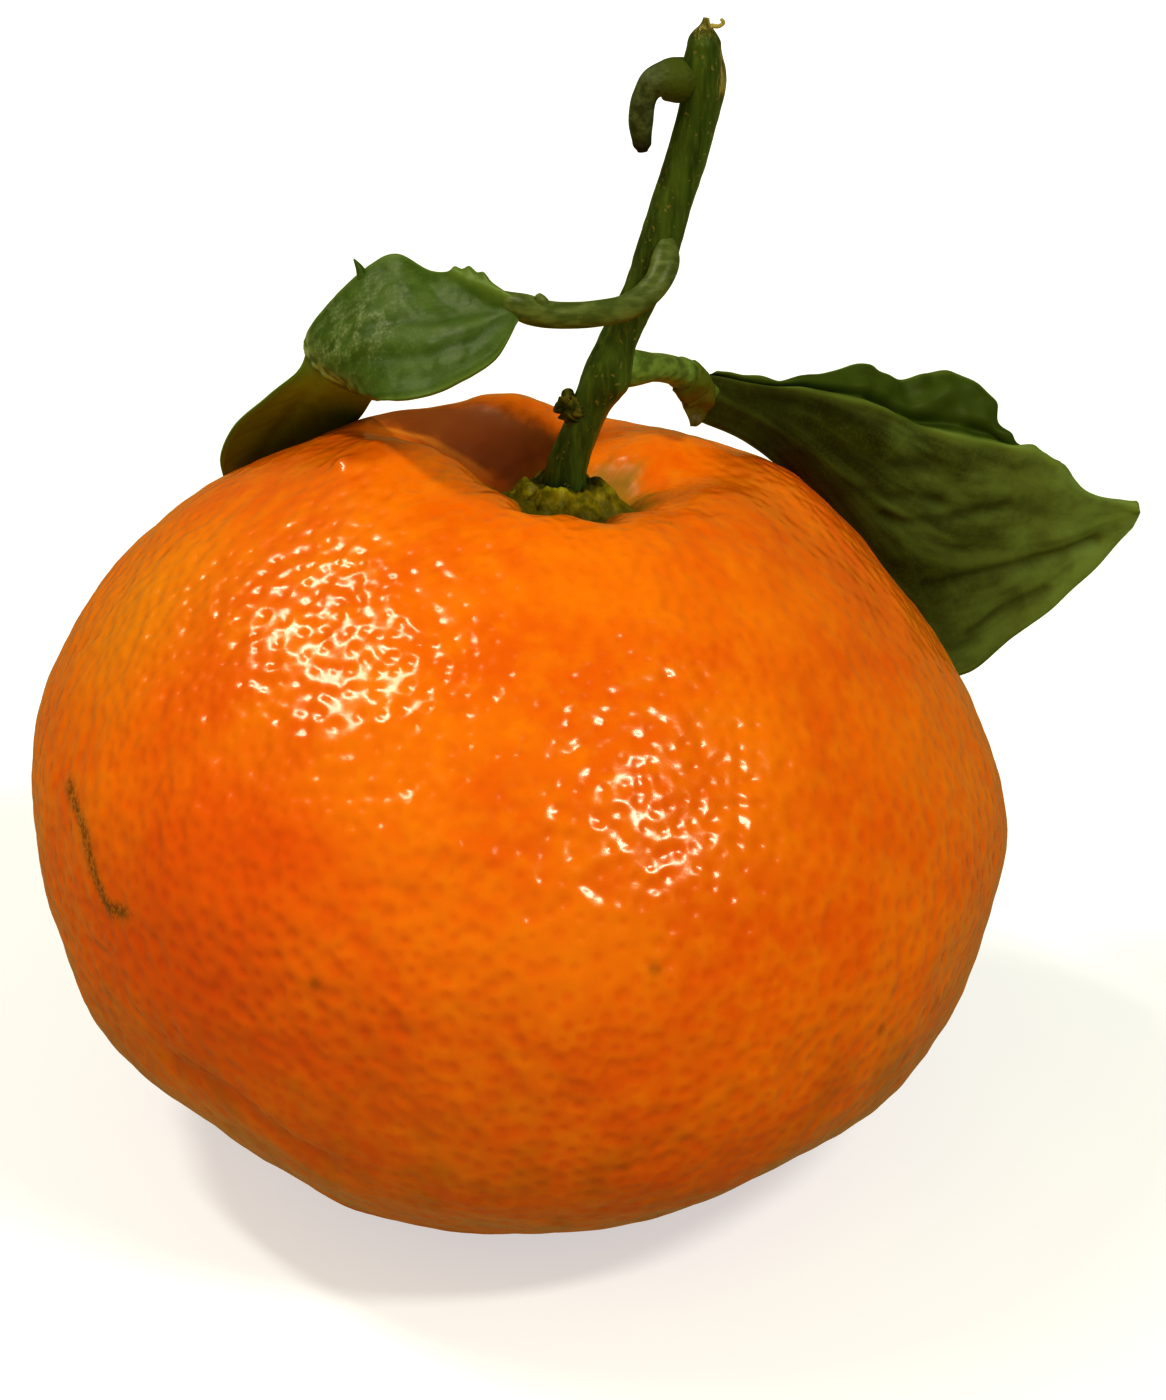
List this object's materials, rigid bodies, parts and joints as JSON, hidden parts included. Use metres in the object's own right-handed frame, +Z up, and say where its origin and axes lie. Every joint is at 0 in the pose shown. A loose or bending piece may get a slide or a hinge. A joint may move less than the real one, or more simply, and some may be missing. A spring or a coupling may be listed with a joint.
{
  "type": "mandarin",
  "caption": "Fresh mandarin as picked: a plump orange fruit with a sunken green calyx, a torn green twig and drooping leaves, resting on its base.",
  "frame": {"origin": "middle of the flat spot under the fruit, on the surface it rests on", "axes": "+Z up from the base towards the stem, -Y towards the front, +X towards the side that the twig leans to"},
  "size_m": [0.0784, 0.0668, 0.0789],
  "materials": {
    "rind": "leathery citrus rind, waxy satin gloss, pitted with oil glands",
    "calyx": "matt green plant skin",
    "bark": "green young bark, satin, with lengthwise ribs",
    "leaf_bright": "glossy bumpy upper side of a leathery leaf",
    "leaf_olive": "matt olive underside of a leathery leaf, with veins"
  },
  "bodies": {
    "root": {"fruit": "rind", "calyx": "calyx", "twig": "bark", "leaf_left": "leaf_bright", "leaf_right": "leaf_olive"}
  },
  "joints": []
}
